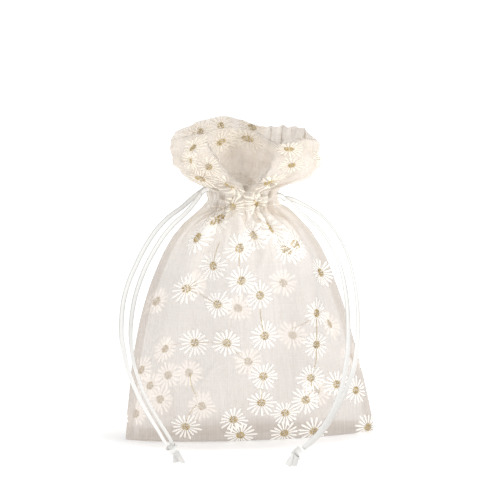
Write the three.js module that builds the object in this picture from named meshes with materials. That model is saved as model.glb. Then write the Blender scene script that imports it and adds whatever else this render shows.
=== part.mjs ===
// Drawstring gift pouch: a sheer cloth bag with embroidered daisies, a gathered neck,
// two ribbon drawstrings that leave it on opposite sides, and a frilled mouth.
// Millimetres. +Z is up, +X runs along the base from corner to corner and the front faces -Y.
// The origin is the middle of the base, on the surface that the pouch stands on.

import * as THREE from "three";

// Cloth: each wall stands in for one layer of organza.
const CLOTH = 0.8;
const LAYER_GAP = 0.4;
const SEAM_GAP = 0.6;
const SEAM_THICKNESS = 0.6;
const SEAM_WIDTH = 3;
const SEAM_INSET = 0.2;
const SEAM_FOOT = 0.4;
const BASE_SEAM_HEIGHT = 4;
const BASE_SEAM_LIFT = 0.1;
const BASE_SEAM_HALF_LENGTH = 43;
const EDGE_REACH = 0.02;
const CORNER_INSET = 5.3;
const PANEL_COLUMNS = 20;
const FLOOR_SHARES = [0, 0.5];
const BAND_COLUMNS = 24;
const ON_SEAM = 1e-6;
const RING_COLUMNS = 32;

// Casing: the channel round the neck that the drawstrings run in.
const CASING_BOTTOM = 91.4;
const CASING_TOP = 98.4;
const NECK_HALF_WIDTH = 13.4;
const NECK_HALF_DEPTH = 7.2;
const NECK_LEAN = -2.3;
const LEAN_HEIGHT = 60;
const FOOT_SHIFT = 0.6;
const FOOT_SHIFT_HEIGHT = 20;
const SLIT_FOOT = 88;
const SLIT_HALF_WIDTH = 2.2;
const CHANNEL = 1.1;
const CASING_END = 0.1;
const LOOP_END = 0.08;
const STITCH_SIZE = 0.5;
const LOWER_STITCH_HEIGHT = 91.2;
const UPPER_STITCH_HEIGHT = 98.1;

// Drawstrings: satin ribbon, tied in an overhand knot at the free end of each pair.
const RIBBON_WIDTH = 1.8;
const RIBBON_THICKNESS = 0.5;
const TAIL_DIAMETER = 1.6;
const TAIL_SIDES = 8;
const TAIL_STEPS = 24;
const CUT_END_STEPS = 3;
const KNOT_SIDES = 12;
const KNOT_ROWS = 8;
const LEFT_RIBBON_HEIGHT = 96.5;
const RIGHT_RIBBON_HEIGHT = 93.3;
const STUB_LENGTH = 3.8;
const STUB_REACH = 1.3;
const STUB_SPREAD = 0.8;

// Frill: the doubled heading above the casing.
const FRILL_FOOT = 101.2;
const FRILL_RIM = 121.2;
const FRILL_LOBES = 6;
const LOBE_DEPTH = 0.06;
const FRILL_EDGE = 0.02;
const FRILL_COLUMNS = 18;
const HEM_HEIGHT = 0.9;
const HEM_COLUMNS = 48;

// Embroidered daisies
const DAISY_RADIUS = 4.9;
const DAISY_INNER_RADIUS = 3.1;
const DAISY_PETALS = 8;
const DAISY_THICKNESS = 0.4;
const DAISY_STAND_OFF = 0.45;
const DAISY_SLOPE_SPAN = 2.5;

// Each row of the body: height, half width, half depth and how sharp its two side corners are.
const BODY_ROWS = [
  [0, 48.8, 7.5, 1.3],
  [4, 48.4, 9.8, 1.28],
  [14, 47, 13, 1.24],
  [28, 44.6, 16.4, 1.18],
  [44, 41, 19.4, 1.12],
  [54, 38.1, 20.4, 1.08],
  [65, 34.3, 20.4, 1.04],
  [75, 30, 18.8, 1],
  [83, 24.2, 15.4, 1],
  [SLIT_FOOT, 18, 11.2, 1],
  [CASING_BOTTOM, NECK_HALF_WIDTH, NECK_HALF_DEPTH, 1],
  [CASING_TOP, NECK_HALF_WIDTH, NECK_HALF_DEPTH, 1],
];

// Each row of the frill: height, half width and half depth.
const FRILL_ROWS = [
  [FRILL_FOOT, 16.5, 8.6],
  [103.5, 20.5, 11.5],
  [106.5, 23.6, 14.6],
  [110, 25.6, 17.2],
  [114, 26.6, 19.2],
  [118, 27.2, 20.5],
  [FRILL_RIM, 27, 21],
];

// Route of each ribbon from its slit in the casing to the knot, in the order of its length.
const LEFT_FRONT_ROUTE = [
  [-18.3, -1, 96.5], [-20.5, -1.8, 93.5], [-24.5, -3, 89.2], [-29, -4.6, 85.5], [-33.2, -6.6, 81.3],
  [-37, -8.6, 76], [-40.3, -10.6, 70.5], [-43, -12.6, 64.5], [-45, -14.8, 58.5], [-46.3, -17.2, 52],
  [-46.8, -19.4, 46], [-46.4, -21.1, 40.5], [-45.6, -22.6, 35.1], [-43.9, -23.4, 29.5],
  [-41.5, -24.2, 23.1], [-38.2, -25, 16.9], [-34.9, -25.6, 11.2], [-32.5, -26, 6.9],
];
const LEFT_BACK_ROUTE = [
  [-18.3, 1, 96.5], [-21, 0.6, 94.6], [-25.5, -0.5, 91], [-31, -2.5, 87.5], [-36, -5, 83],
  [-40.5, -7.5, 77], [-44, -10, 71], [-47, -12.5, 65], [-49, -15, 59], [-50, -17.5, 53],
  [-50.3, -19.8, 46.5], [-49.5, -21.5, 41], [-48.4, -22.9, 35.1], [-46.6, -23.7, 29.5],
  [-43.9, -24.5, 23.1], [-40.6, -25.3, 16.8], [-37.3, -25.9, 11.1], [-34.9, -26.3, 6.8],
];
const RIGHT_FRONT_ROUTE = [
  [13.7, -1, 93.3], [15.8, -1.6, 91.6], [18.8, -2.8, 88.8], [23, -4.8, 85.4], [26.8, -7, 81.6],
  [30, -9.4, 77], [32.4, -11.8, 71.5], [34, -14, 65.5], [34.9, -16.4, 59], [35.2, -19, 52.1],
  [35.1, -21.3, 45.1], [34.5, -23.8, 39], [33.4, -26.2, 33.1], [31.9, -28.2, 27.2], [29.6, -29.9, 21.2],
  [26.3, -31.6, 15.4], [22.2, -33.4, 10.3], [18.4, -35, 6.9],
];
const RIGHT_BACK_ROUTE = [
  [13.7, 1, 93.3], [16.5, 0.7, 92.8], [20.5, -0.5, 91], [26, -3, 88], [30.6, -5.6, 83.6],
  [34.2, -8.4, 78], [36.6, -11, 72], [38, -13.6, 65.5], [38.8, -16.2, 59], [39.1, -18.8, 52],
  [38.8, -21.2, 45], [37.9, -23, 38.3], [36.7, -24.6, 32], [34.3, -26, 25.9], [31.5, -27.4, 19.9],
  [27.9, -29, 14], [23.7, -30.7, 8.9], [19.7, -32.4, 5.7],
];

// Knots and the cut ends below them: centre and radii, then the two ends from knot to cut.
const LEFT_KNOT = { centre: [-31.9, -26.2, 3.3], radii: [2.6, 2.4, 2.9] };
const RIGHT_KNOT = { centre: [14.1, -35.6, 3.2], radii: [2.7, 2.5, 2.8] };
const LEFT_ENDS = [
  [[-31.2, -29.4, 2.3], [-30.5, -31.7, 1.4], [-29.8, -34.1, 1]],
  [[-33.4, -29.3, 2.2], [-33, -31.4, 1.4], [-32.2, -33.4, 1]],
];
const RIGHT_ENDS = [
  [[12.3, -38.7, 2], [11.3, -40.3, 1.3], [10, -41.9, 1]],
  [[14.4, -39, 2], [13.6, -40.6, 1.3], [12.4, -42.3, 1]],
];

// Daisy centres: across and up, one list for each panel.
const FRONT_DAISIES = [
  [-20.5, 80.5], [-5.5, 77.5], [16, 78], [-15, 70.5], [-25, 62], [-14, 57], [2, 60], [26.5, 64.5],
  [24, 51], [24, 39], [4, 44], [-10.5, 42.5], [-22, 41], [3.5, 28.5], [22, 26.5], [32.5, 22.5],
  [3, 17.5], [12.5, 12], [-7.5, 10.5],
];
const BACK_DAISIES = [
  [15, 56.5], [-20, 57], [-2, 46], [18.5, 36], [-31.5, 33], [1.5, 25], [-22, 22.5], [28, 14],
];

const material = (color, roughness) => new THREE.MeshStandardMaterial({ color, roughness, metalness: 0 });
const ORGANZA = material(0xece6e2, 0.7);
const SEAM = material(0xe4dcd6, 0.8);
const SATIN = material(0xf6f2ea, 0.35);
const THREAD = material(0xfbf8f2, 0.5);

const pouch = new THREE.Group();

function add(name, geometry, look) {
  const mesh = new THREE.Mesh(geometry, look);
  mesh.name = name;
  pouch.add(mesh);
  return mesh;
}

const smooth = (t) => {
  const s = Math.min(1, Math.max(0, t));
  return s * s * (3 - 2 * s);
};

// The neck sits a little to one side of the base, and the foot a little to the other.
const lean = (z) => FOOT_SHIFT * (1 - smooth(z / FOOT_SHIFT_HEIGHT)) + NECK_LEAN * smooth(z / LEAN_HEIGHT);

// Distance from the seam plane to a panel's edge: it opens into a slit at the casing.
const edgeGap = (z) =>
  SEAM_GAP + (SLIT_HALF_WIDTH - SEAM_GAP) * smooth((z - SLIT_FOOT) / (CASING_BOTTOM - SLIT_FOOT));

// A closed solid between two faces, each a grid of columns along it and rows up it.
function wallSolid(outer, inner, columns, rows, ring = false) {
  const across = ring ? columns : columns + 1;
  const positions = [];
  for (const face of [outer, inner])
    for (let j = 0; j <= rows; j++)
      for (let i = 0; i < across; i++)
        positions.push(...face(i / columns, j));
  const at = (layer, i, j) => (layer * (rows + 1) + j) * across + (i % across);
  const index = [];
  const quad = (a, b, c, d) => index.push(a, b, c, a, c, d);
  for (let i = 0; i < columns; i++) {
    for (let j = 0; j < rows; j++) {
      quad(at(0, i, j), at(0, i + 1, j), at(0, i + 1, j + 1), at(0, i, j + 1));
      quad(at(1, i, j + 1), at(1, i + 1, j + 1), at(1, i + 1, j), at(1, i, j));
    }
    quad(at(1, i, 0), at(1, i + 1, 0), at(0, i + 1, 0), at(0, i, 0));
    quad(at(0, i, rows), at(0, i + 1, rows), at(1, i + 1, rows), at(1, i, rows));
  }
  for (let j = 0; j < rows && !ring; j++) {
    quad(at(1, 0, j), at(0, 0, j), at(0, 0, j + 1), at(1, 0, j + 1));
    quad(at(0, columns, j), at(1, columns, j), at(1, columns, j + 1), at(0, columns, j + 1));
  }
  const geometry = new THREE.BufferGeometry();
  geometry.setAttribute("position", new THREE.Float32BufferAttribute(positions, 3));
  geometry.setIndex(signedVolume(positions, index) < 0 ? index.reverse() : index);
  geometry.computeVertexNormals();
  return geometry;
}

function signedVolume(positions, index) {
  let total = 0;
  for (let k = 0; k < index.length; k += 3) {
    const [a, b, c] = [0, 1, 2].map((n) => new THREE.Vector3().fromArray(positions, 3 * index[k + n]));
    total += a.dot(b.cross(c));
  }
  return total / 6;
}

// A panel: half of the base, from the seam under the bag out to its edge, then the wall up to the casing.
function panel(side) {
  const rows = FLOOR_SHARES.length + BODY_ROWS.length - 1;
  const face = (inset) => (u, row) => {
    const [z, width, depth, sharp] = BODY_ROWS[Math.max(0, row - FLOOR_SHARES.length)];
    const share = row < FLOOR_SHARES.length ? FLOOR_SHARES[row] : 1;
    const angle = Math.PI * u;
    const cornerInset = inset * (1 + CORNER_INSET * (sharp - 1));
    const reach = EDGE_REACH + (1 - EDGE_REACH) * Math.sin(angle) ** sharp;
    const x = lean(z) - (width - cornerInset) * Math.cos(angle);
    const y = edgeGap(z) + share * (depth - inset) * reach;
    return [x, side * y, z === 0 ? inset : z];
  };
  return wallSolid(face(0), face(CLOTH), PANEL_COLUMNS, rows);
}

// A point on the neck's outline; the turn starts at the left slit and runs through the front.
function neckPoint(turn, inset, z) {
  const x = lean(z) - (NECK_HALF_WIDTH - inset) * Math.cos(turn);
  const y = -(NECK_HALF_DEPTH - inset) * Math.sin(turn) - SLIT_HALF_WIDTH * Math.sign(Math.sin(turn));
  return [x, y, z];
}

// A band round the neck between two heights, over part of the turn or as a whole ring.
function neckBand(inset, thickness, low, high, from, to, ring = false) {
  const face = (depth) => (u, row) => neckPoint(from + (to - from) * u, depth, row === 0 ? low : high);
  return wallSolid(face(inset), face(inset + thickness), ring ? RING_COLUMNS : BAND_COLUMNS, 1, ring);
}

// Front, back or neither for a turn that lies on a side seam.
const sideOf = (turn) => Math.abs(Math.sin(turn)) < ON_SEAM ? 0 : Math.sign(Math.sin(turn));

// A point on the frill; the turn starts at the left seam and runs through the front.
function frillPoint(turn, row, inset, lift = 0) {
  const [z, width, depth] = FRILL_ROWS[row];
  const flare = (z - FRILL_FOOT) / (FRILL_RIM - FRILL_FOOT);
  const lobe = 1 + LOBE_DEPTH * flare * Math.cos(FRILL_LOBES * turn);
  const x = lean(z) - (width * lobe - inset) * Math.cos(turn);
  const y = -(depth * lobe - inset) * Math.sin(turn) - SEAM_GAP * sideOf(turn);
  return [x, y, z + lift];
}

// One half of a frill layer, front or back of the side seams.
function frillHalf(back, inset) {
  const start = back ? Math.PI : 0;
  const face = (depth) => (u, row) =>
    frillPoint(start + FRILL_EDGE + (Math.PI - 2 * FRILL_EDGE) * u, row, depth);
  return wallSolid(face(inset), face(inset + CLOTH), FRILL_COLUMNS, FRILL_ROWS.length - 1);
}

// The rolled fold that joins the two layers of the heading round the mouth.
function mouthHem() {
  const face = (inset) => (u, row) =>
    frillPoint(2 * Math.PI * u, FRILL_ROWS.length - 1, inset, LAYER_GAP + row * HEM_HEIGHT);
  return wallSolid(face(0), face(2 * CLOTH + LAYER_GAP), HEM_COLUMNS, 1, true);
}

// A seam allowance standing in the seam plane, inside the edge that its rows give.
function sideSeam(sign, edges) {
  const face = (inset) => (u, row) => {
    const [x, z] = edges[row];
    return [x - sign * inset, (u - 0.5) * SEAM_THICKNESS, z];
  };
  return wallSolid(face(0), face(SEAM_WIDTH), 1, edges.length - 1);
}

function bodySeam(sign) {
  const edges = BODY_ROWS.filter(([z]) => z < CASING_BOTTOM)
    .map(([z, width]) => [lean(z) + sign * (width - SEAM_INSET), Math.max(z, SEAM_FOOT)]);
  return sideSeam(sign, edges);
}

function frillSeam(sign) {
  const turn = sign < 0 ? 0 : Math.PI;
  const edges = [...FRILL_ROWS.keys()].map((row) => {
    const [x, , z] = frillPoint(turn, row, 0);
    return [x, z];
  });
  return sideSeam(sign, edges);
}

// The allowance of the seam under the bag, standing up inside it between the two panels.
function baseSeam() {
  const seam = new THREE.BoxGeometry(2 * BASE_SEAM_HALF_LENGTH, SEAM_THICKNESS, BASE_SEAM_HEIGHT);
  seam.translate(0, 0, BASE_SEAM_HEIGHT / 2 + BASE_SEAM_LIFT);
  return seam;
}

// The round outline of a tail, swept along its route.
function tail(route, steps) {
  const curve = new THREE.CatmullRomCurve3(route.map((p) => new THREE.Vector3(...p)), false, "centripetal");
  const outline = new THREE.Shape();
  for (let k = 0; k < TAIL_SIDES; k++) {
    const turn = (2 * Math.PI * k) / TAIL_SIDES;
    const place = [(TAIL_DIAMETER / 2) * Math.cos(turn), (TAIL_DIAMETER / 2) * Math.sin(turn)];
    if (k === 0) outline.moveTo(...place);
    else outline.lineTo(...place);
  }
  outline.closePath();
  return new THREE.ExtrudeGeometry(outline, { steps, extrudePath: curve, bevelEnabled: false });
}

function knot({ centre, radii }) {
  const ball = new THREE.SphereGeometry(1, KNOT_SIDES, KNOT_ROWS);
  ball.scale(...radii);
  ball.translate(...centre);
  return ball;
}

// One drawstring: its loop in the casing, two lengths in the slit, two tails, the knot and its ends.
function drawstring(name, sign, height, routes, knotShape, ends) {
  const start = sign < 0 ? 0 : Math.PI;
  const inset = CLOTH + (CHANNEL - RIBBON_THICKNESS) / 2;
  const [low, high] = [height - RIBBON_WIDTH / 2, height + RIBBON_WIDTH / 2];
  const [from, to] = [start + LOOP_END, start + 2 * Math.PI - LOOP_END];
  const loop = neckBand(inset, RIBBON_THICKNESS, low, high, from, to);
  add(name + "_drawstring_loop", loop, SATIN);
  const slit = NECK_LEAN + sign * NECK_HALF_WIDTH;
  const middle = slit + sign * (STUB_REACH - STUB_LENGTH / 2);
  ["front", "back"].forEach((where, k) => {
    const stub = add(name + "_" + where + "_slit_ribbon",
      new THREE.BoxGeometry(STUB_LENGTH, RIBBON_THICKNESS, RIBBON_WIDTH), SATIN);
    stub.position.set(middle, (2 * k - 1) * STUB_SPREAD, height);
    add(name + "_" + where + "_tail", tail(routes[k], TAIL_STEPS), SATIN);
  });
  add(name + "_knot", knot(knotShape), SATIN);
  add(name + "_upper_cut_end", tail(ends[0], CUT_END_STEPS), SATIN);
  add(name + "_lower_cut_end", tail(ends[1], CUT_END_STEPS), SATIN);
}

// The place and outward direction of a point on the front or back wall.
function wallPlace(side, across, z) {
  const k = BODY_ROWS.findIndex(([level]) => level > z);
  const share = (z - BODY_ROWS[k - 1][0]) / (BODY_ROWS[k][0] - BODY_ROWS[k - 1][0]);
  const level = BODY_ROWS[k].map((v, n) => THREE.MathUtils.lerp(BODY_ROWS[k - 1][n], v, share));
  const [, width, depth, sharp] = level;
  const off = (across - lean(z)) / width;
  return new THREE.Vector3(across, side * (edgeGap(z) + depth * (1 - off * off) ** (sharp / 2)), z);
}

function daisy(side, across, z) {
  const flower = new THREE.Shape();
  for (let k = 0; k < 2 * DAISY_PETALS; k++) {
    const turn = (Math.PI * k) / DAISY_PETALS;
    const reach = k % 2 ? DAISY_INNER_RADIUS : DAISY_RADIUS;
    const place = [reach * Math.cos(turn), reach * Math.sin(turn)];
    if (k === 0) flower.moveTo(...place);
    else flower.lineTo(...place);
  }
  flower.closePath();
  const plate = new THREE.ExtrudeGeometry(flower, { depth: DAISY_THICKNESS, bevelEnabled: false });
  const centre = wallPlace(side, across, z);
  const span = DAISY_SLOPE_SPAN;
  const along = wallPlace(side, across + span, z).sub(wallPlace(side, across - span, z)).normalize();
  const up = wallPlace(side, across, z + span).sub(wallPlace(side, across, z - span)).normalize();
  const out = new THREE.Vector3().crossVectors(along, up).normalize().multiplyScalar(-side);
  const right = new THREE.Vector3().crossVectors(up, out).normalize();
  const frame = new THREE.Matrix4().makeBasis(right, new THREE.Vector3().crossVectors(out, right), out);
  frame.setPosition(centre.addScaledVector(out, DAISY_STAND_OFF));
  return plate.applyMatrix4(frame);
}

function daisies(name, side, places) {
  places.forEach(([across, z], k) => {
    const number = String(k + 1).padStart(2, "0");
    add(name + "_daisy_" + number, daisy(side, across, z), THREAD);
  });
}

add("front_panel", panel(-1), ORGANZA);
add("back_panel", panel(1), ORGANZA);
add("bottom_seam", baseSeam(), SEAM);
add("left_side_seam", bodySeam(-1), SEAM);
add("right_side_seam", bodySeam(1), SEAM);

for (const [name, start] of [["front_casing", 0], ["back_casing", Math.PI]]) {
  const [from, to] = [start + CASING_END, start + Math.PI - CASING_END];
  add(name, neckBand(CLOTH + CHANNEL, CLOTH, CASING_BOTTOM, CASING_TOP, from, to), ORGANZA);
}
const STITCHING = { lower_stitching: LOWER_STITCH_HEIGHT, upper_stitching: UPPER_STITCH_HEIGHT };
for (const [name, low] of Object.entries(STITCHING)) {
  const outset = LAYER_GAP + STITCH_SIZE;
  add(name, neckBand(-outset, STITCH_SIZE, low, low + STITCH_SIZE, 0, 2 * Math.PI, true), THREAD);
}

add("front_frill", frillHalf(false, 0), ORGANZA);
add("back_frill", frillHalf(true, 0), ORGANZA);
add("front_frill_facing", frillHalf(false, CLOTH + LAYER_GAP), ORGANZA);
add("back_frill_facing", frillHalf(true, CLOTH + LAYER_GAP), ORGANZA);
add("left_frill_seam", frillSeam(-1), SEAM);
add("right_frill_seam", frillSeam(1), SEAM);
add("mouth_fold", mouthHem(), ORGANZA);

drawstring("left", -1, LEFT_RIBBON_HEIGHT, [LEFT_FRONT_ROUTE, LEFT_BACK_ROUTE], LEFT_KNOT, LEFT_ENDS);
drawstring("right", 1, RIGHT_RIBBON_HEIGHT, [RIGHT_FRONT_ROUTE, RIGHT_BACK_ROUTE], RIGHT_KNOT, RIGHT_ENDS);

daisies("front", -1, FRONT_DAISIES);
daisies("back", 1, BACK_DAISIES);

export default pouch;
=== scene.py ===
"""Looks of the drawstring gift pouch: sheer organza, embroidered daisies, satin drawstrings.

Lengths are in millimetres until a mesh is made, in the CAD frame: +Z up, the front faces -Y.
The cloth is one grid. Its columns run round the pouch from the left seam through the front,
and its rows run from the seam under the base, up the wall, through the casing, over the fold of
the mouth and back down inside the frill as its facing.
"""

import math

import bpy
import numpy as np
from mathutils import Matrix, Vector


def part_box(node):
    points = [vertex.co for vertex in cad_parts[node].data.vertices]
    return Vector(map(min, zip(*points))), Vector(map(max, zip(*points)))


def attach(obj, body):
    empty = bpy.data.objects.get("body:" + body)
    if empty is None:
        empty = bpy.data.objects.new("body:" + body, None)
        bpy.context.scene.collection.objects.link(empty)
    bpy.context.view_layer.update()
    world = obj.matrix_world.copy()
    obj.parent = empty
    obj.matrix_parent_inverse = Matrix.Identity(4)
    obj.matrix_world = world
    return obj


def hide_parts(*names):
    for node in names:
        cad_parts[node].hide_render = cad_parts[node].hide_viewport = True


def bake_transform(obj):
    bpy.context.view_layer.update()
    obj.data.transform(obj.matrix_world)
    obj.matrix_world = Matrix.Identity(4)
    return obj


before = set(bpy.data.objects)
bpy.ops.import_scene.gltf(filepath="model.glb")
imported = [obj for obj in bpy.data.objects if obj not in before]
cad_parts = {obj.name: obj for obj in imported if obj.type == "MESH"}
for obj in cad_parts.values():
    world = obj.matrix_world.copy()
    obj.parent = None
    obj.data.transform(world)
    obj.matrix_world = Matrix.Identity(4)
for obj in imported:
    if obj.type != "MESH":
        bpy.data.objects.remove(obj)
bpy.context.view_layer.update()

MM = 0.001
FLAT_WIDTH = 100.0
FLAT_HEIGHT = 140.0
ROUND = 2 * FLAT_WIDTH
COLUMNS = 480
PER_MM = COLUMNS / ROUND  # columns in a millimetre of cloth
CASING_LOW = 91.4
CASING_DEPTH = 7.0
CASING_HIGH = CASING_LOW + CASING_DEPTH
HEADING = 26.0  # height of the doubled cloth above the casing
SHELL_WALL = 0.8  # thickness of the CAD model's cloth
SEAM_GAP = 0.25  # from the middle to the cloth of either side, at the side seams
SEAM_FADE = 5.0  # how far from a side seam the folds die out
FLOOR_LIFT = 0.12
TAKEN_UP = 0.985  # share of the cloth's width that its folds take up

RIBBON_WIDTH = 1.8
RIBBON_THICKNESS = 0.35
RIBBON_SIDES = 10
KNOT_WIDTH = 2.3  # the ribbon is spread a little where it is tied
STITCH_PITCH = 2.2
DAISY_REACH = 6.1
PETAL_WIDTH = 1.02
HEART_RADIUS = 1.55

# Rows of the cloth's grid: floor, wall at one a millimetre, casing, then the frill up to its rim.
FLOOR_STEPS, CASING_STEPS, FRILL_STEPS, FACING_STEPS = 9, 9, 30, 8
WALL_ROW = FLOOR_STEPS
CASING_ROW = WALL_ROW + int(CASING_LOW)
FRILL_ROW = CASING_ROW + CASING_STEPS
RIM_ROW = FRILL_ROW + FRILL_STEPS - 1

CAMERA_AZIMUTH = -7.0
CAMERA_ELEVATION = 12.5
CAMERA_DISTANCE = 800.0
CAMERA_LENS = 150.8
CAMERA_AIM = (0.4, 0.0, 73.6)

rng = np.random.default_rng(7)


# ---------------------------------------------------------------- camera and cords

def add_camera():
    azimuth, elevation = math.radians(CAMERA_AZIMUTH), math.radians(CAMERA_ELEVATION)
    aim = Vector(CAMERA_AIM)
    back = Vector((math.sin(azimuth) * math.cos(elevation),
                   -math.cos(azimuth) * math.cos(elevation), math.sin(elevation)))
    data = bpy.data.cameras.new("camera")
    data.sensor_width = 36.0
    data.lens = CAMERA_LENS
    data.clip_start = 0.01
    camera = bpy.data.objects.new("camera", data)
    camera.location = (aim + CAMERA_DISTANCE * back) * MM
    camera.rotation_euler = (-back).to_track_quat("-Z", "Y").to_euler()
    bpy.context.scene.collection.objects.link(camera)
    bpy.context.scene.camera = camera


# Route of each ribbon from its slit in the casing to the knot.
ROUTES = {
    "left_front": [
        (-18.3, -1, 96.5), (-20.5, -1.8, 93.5), (-24.5, -3, 89.2), (-29, -4.6, 85.5), (-33.2, -6.6, 81.3),
        (-37, -8.6, 76), (-40.3, -10.6, 70.5), (-43, -12.6, 64.5), (-45, -14.8, 58.5), (-46.3, -17.2, 52),
        (-46.8, -19.4, 46), (-46.4, -21.1, 40.5), (-45.6, -22.6, 35.1), (-43.9, -23.4, 29.5),
        (-41.5, -24.2, 23.1), (-38.2, -25, 16.9), (-34.9, -25.6, 11.2), (-32.5, -26, 6.9)],
    "left_back": [
        (-18.3, 1, 96.5), (-21, 0.6, 94.6), (-25.5, -0.5, 91), (-31, -2.5, 87.5), (-36, -5, 83),
        (-40.5, -7.5, 77), (-44, -10, 71), (-47, -12.5, 65), (-49, -15, 59), (-50, -17.5, 53),
        (-50.3, -19.8, 46.5), (-49.5, -21.5, 41), (-48.4, -22.9, 35.1), (-46.6, -23.7, 29.5),
        (-43.9, -24.5, 23.1), (-40.6, -25.3, 16.8), (-37.3, -25.9, 11.1), (-34.9, -26.3, 6.8)],
    "right_front": [
        (13.7, -1, 93.3), (15.8, -1.6, 91.6), (18.8, -2.8, 88.8), (23, -4.8, 85.4), (26.8, -7, 81.6),
        (30, -9.4, 77), (32.4, -11.8, 71.5), (34, -14, 65.5), (34.9, -16.4, 59), (35.2, -19, 52.1),
        (35.1, -21.3, 45.1), (34.5, -23.8, 39), (33.4, -26.2, 33.1), (31.9, -28.2, 27.2),
        (29.6, -29.9, 21.2), (26.3, -31.6, 15.4), (22.2, -33.4, 10.3), (18.4, -35, 6.9)],
    "right_back": [
        (13.7, 1, 93.3), (16.5, 0.7, 92.8), (20.5, -0.5, 91), (26, -3, 88), (30.6, -5.6, 83.6),
        (34.2, -8.4, 78), (36.6, -11, 72), (38, -13.6, 65.5), (38.8, -16.2, 59), (39.1, -18.8, 52),
        (38.8, -21.2, 45), (37.9, -23, 38.3), (36.7, -24.6, 32), (34.3, -26, 25.9), (31.5, -27.4, 19.9),
        (27.9, -29, 14), (23.7, -30.7, 8.9), (19.7, -32.4, 5.7)],
}


# ---------------------------------------------------------------- small tools

def smooth(t):
    t = np.clip(t, 0.0, 1.0)
    return t * t * (3.0 - 2.0 * t)


def unit(v):
    return v / np.maximum(np.linalg.norm(v, axis=-1, keepdims=True), 1e-12)


def catmull(points, count):
    """A smooth curve through the points, as count points evenly spaced along it."""
    p = np.array(points, float)
    q = np.vstack([2 * p[:1] - p[1:2], p, 2 * p[-1:] - p[-2:-1]])
    u = np.linspace(0, 1, 24, endpoint=False)[:, None]
    spans = []
    for a, b, c, d in zip(q[:-3], q[1:-2], q[2:-1], q[3:]):
        spans.append(0.5 * (2 * b + (c - a) * u + (2 * a - 5 * b + 4 * c - d) * u**2
                            + (3 * b - a - 3 * c + d) * u**3))
    return evenly(np.vstack([*spans, p[-1:]]), count)


def lengths(line):
    return np.concatenate([[0], np.cumsum(np.linalg.norm(np.diff(line, axis=0), axis=1))])


def evenly(line, count):
    along = lengths(line)
    at = np.linspace(0, along[-1], count)
    return np.stack([np.interp(at, along, line[:, k]) for k in range(line.shape[1])], axis=1)


class Build:
    """Gathers vertices, faces and pattern coordinates into one mesh."""

    def __init__(self):
        self.points, self.faces, self.uvs, self.count = [], [], [], 0

    def grid(self, points, uv, wrap=False, cap=False):
        """Adds a grid of points, rows by columns; wrap joins its last column to its first."""
        rows, columns = points.shape[:2]
        first = self.count
        self.points.append(points.reshape(-1, 3))
        self.uvs.append(uv.reshape(-1, 2))
        self.count += rows * columns
        index = first + np.arange(rows * columns).reshape(rows, columns)
        nxt = np.roll(index, -1, axis=1) if wrap else index[:, 1:]
        now = index if wrap else index[:, :-1]
        quads = np.stack([now[:-1], nxt[:-1], nxt[1:], now[1:]], axis=-1).reshape(-1, 4)
        self.faces.extend(quads.tolist())
        if cap:
            self.faces.append(index[0][::-1].tolist())
            self.faces.append(index[-1].tolist())

    def make(self, name, material):
        mesh = bpy.data.meshes.new(name)
        points = np.vstack(self.points) * MM
        uvs = np.vstack(self.uvs)
        mesh.from_pydata(points.tolist(), [], self.faces)
        layer = mesh.uv_layers.new(name="pattern")
        corner = np.zeros(len(mesh.loops), np.int32)
        mesh.loops.foreach_get("vertex_index", corner)
        layer.data.foreach_set("uv", uvs[corner].astype(np.float32).ravel())
        mesh.polygons.foreach_set("use_smooth", [True] * len(mesh.polygons))
        mesh.materials.append(material)
        mesh.update()
        made = bpy.data.objects.new(name, mesh)
        bpy.context.scene.collection.objects.link(made)
        return made


# ---------------------------------------------------------------- the cloth

SEAM_DISTANCE = np.abs((np.arange(COLUMNS) / COLUMNS + 0.25) % 0.5 - 0.25) * ROUND
FREE_OF_SEAMS = 1 - np.exp(-(SEAM_DISTANCE / SEAM_FADE) ** 2)


def profile_of(node):
    """Height, half width, middle and depth of each level of a CAD shell, from its own vertices."""
    points = np.array([v.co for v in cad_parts[node].data.vertices]) / MM
    levels = np.unique(np.round(points[:, 2], 2))
    rows = []
    for z in levels:
        at = points[np.abs(points[:, 2] - z) < 0.01]
        wide = at[:, 0].max() - at[:, 0].min()
        rows.append((z, wide / 2, (at[:, 0].max() + at[:, 0].min()) / 2, np.abs(at[:, 1]).max()))
    return np.array([r for r in rows if r[1] > 5])


BODY = profile_of("front_panel")
BODY = BODY[np.abs(BODY[:, 0] - SHELL_WALL) > 0.05]  # without the level of the shell's inner floor


def body_ring(z):
    """The cloth's outline round the body at a height, before its folds.

    It runs from the left seam through the front, the right seam and the back."""
    window = np.linspace(-2, 2, 9)
    weights = np.exp(-0.5 * window ** 2)
    heights = np.clip(z + 2.5 * window, 0, CASING_HIGH)
    near = smooth((z - 2) / 8) * smooth((CASING_LOW - z) / 6)
    width, middle, depth = (
        near * np.average(np.interp(heights, BODY[:, 0], BODY[:, k]), weights=weights)
        + (1 - near) * np.interp(z, BODY[:, 0], BODY[:, k]) for k in (1, 2, 3))
    sharp = 1 + 0.3 * smooth((75 - z) / 75)
    return half_rings(middle, width - 0.1, depth - 0.2, sharp)


def half_rings(middle, width, depth, sharp):
    turn = np.linspace(0, math.pi, 721)
    x = middle - width * np.cos(turn)
    y = SEAM_GAP + (depth - SEAM_GAP) * np.sin(turn) ** sharp
    front = evenly(np.stack([x, -y], axis=1), COLUMNS // 2 + 1)
    back = front[::-1] * np.array([1, -1])
    return np.vstack([front[:-1], back[:-1]])


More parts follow.
